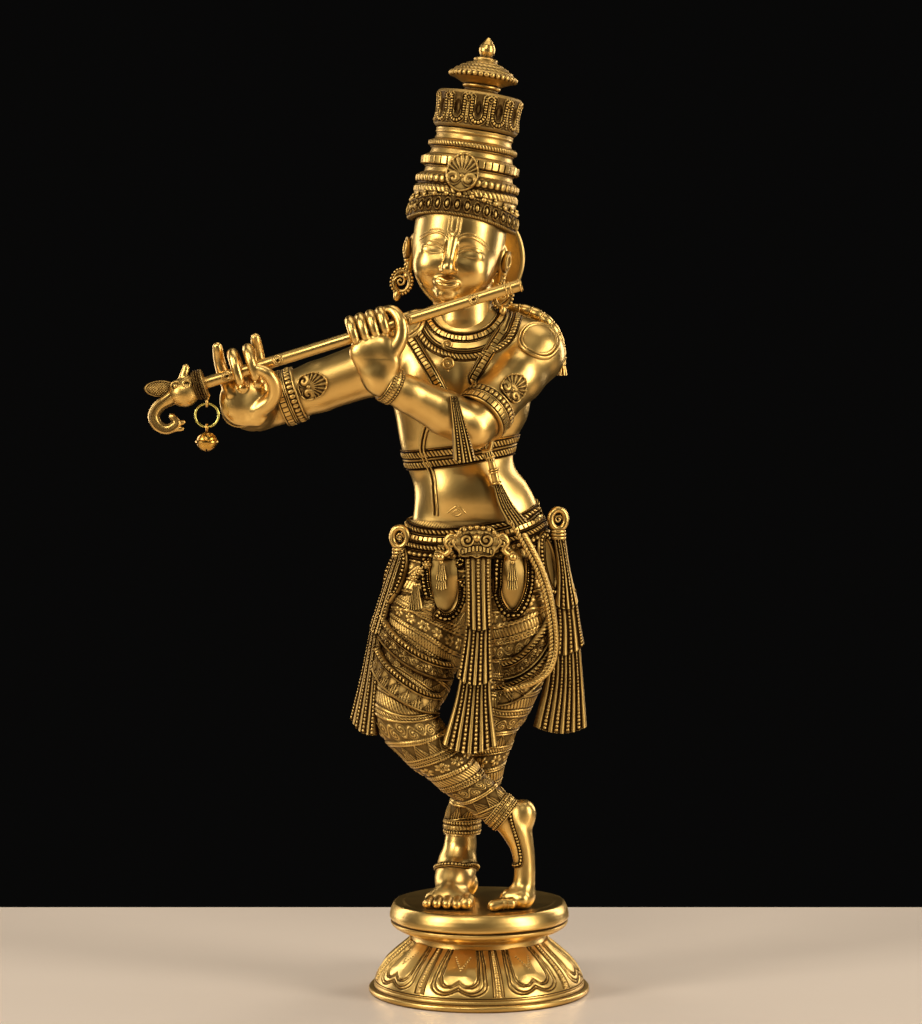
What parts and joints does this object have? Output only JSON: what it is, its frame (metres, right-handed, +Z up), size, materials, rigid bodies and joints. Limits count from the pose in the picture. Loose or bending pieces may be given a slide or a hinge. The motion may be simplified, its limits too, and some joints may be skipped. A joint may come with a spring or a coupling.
{
  "type": "hindu deity statue",
  "caption": "Crowned flute player in cast brass standing cross-legged on a round lotus pedestal, with a sliding flute and a small bell hung from its collar",
  "frame": {"origin": "middle of the pedestal's rest face, on the table", "axes": "+X to the right as the figure is seen from the front, +Y to its back, +Z up; the figure faces -Y"},
  "size_m": [0.3462, 0.1928, 0.7612],
  "materials": {
    "polished_brass": "hand polished, with dark patina left in the engraved lines",
    "antique_brass": "cast and chased, bright on the high places and dark brown in the hollows",
    "yellow_brass": "bright yellow drawn wire",
    "bell_bronze": "satin, darker golden brown",
    "plated_steel": "zinc plated, hidden inside the base and the bell"
  },
  "bodies": {
    "statue": {"base_bowl": "antique_brass", "base_plate": "antique_brass", "foot_studs": "plated_steel", "foot_washers": "plated_steel", "foot_nuts": "plated_steel", "leg_standing": "antique_brass", "leg_crossing": "antique_brass", "cuff_standing": "antique_brass", "cuff_crossing": "antique_brass", "foot_standing": "polished_brass", "foot_crossing": "polished_brass", "anklet_standing": "antique_brass", "anklet_crossing": "antique_brass", "pelvis": "antique_brass", "torso": "polished_brass", "head": "polished_brass", "diadem": "antique_brass", "crown_tiers": "antique_brass", "crown_drum": "antique_brass", "crown_finial": "antique_brass", "crown_crest": "antique_brass", "halo_disc": "antique_brass", "earring_left": "antique_brass", "earring_right": "antique_brass", "hair_locks": "antique_brass", "shoulder_plates": "polished_brass", "upper_arm_right": "polished_brass", "forearm_right": "polished_brass", "hand_right": "polished_brass", "upper_arm_left": "polished_brass", "forearm_left": "polished_brass", "hand_left": "polished_brass", "armlet_right": "antique_brass", "armlet_left": "antique_brass", "armlet_leaves": "antique_brass", "armlet_tassel": "antique_brass", "bracelet_right": "antique_brass", "bracelet_left": "antique_brass", "necklace_choker": "antique_brass", "necklace_long": "antique_brass", "chest_band": "antique_brass", "chest_straps": "antique_brass", "chest_sash": "antique_brass", "girdle": "antique_brass", "girdle_buckle": "antique_brass", "pleats_upper": "antique_brass", "pleats_lower": "antique_brass", "side_sash_left": "antique_brass", "side_sash_right": "antique_brass", "thigh_swags": "antique_brass", "bead_loops": "antique_brass", "garland": "antique_brass"},
    "flute": {"flute_tube": "polished_brass", "flute_head": "antique_brass"},
    "ring": {"bell_ring": "yellow_brass"},
    "bell": {"bell_cap": "bell_bronze", "bell_cup": "bell_bronze"},
    "pellet": {"bell_pellet": "plated_steel"}
  },
  "joints": [
    {"name": "flute_slide", "type": "slide", "parent": "statue", "child": "flute", "axis": [-0.9548, 0, -0.2974], "range_m": [0, 0.24]},
    {"name": "ring_swing", "type": "hinge", "parent": "flute", "child": "ring", "pos_m": [-0.2105, -0.085, 0.4702], "axis": [1, 0, 0], "range_deg": [-50, 50]},
    {"name": "bell_swing", "type": "hinge", "parent": "ring", "child": "bell", "pos_m": [-0.2105, -0.085, 0.4522], "axis": [1, 0, 0], "range_deg": [-50, 50]},
    {"name": "pellet_rattle", "type": "slide", "parent": "bell", "child": "pellet", "axis": [0, 0, 1], "range_m": [-0.0007, 0.002]}
  ]
}
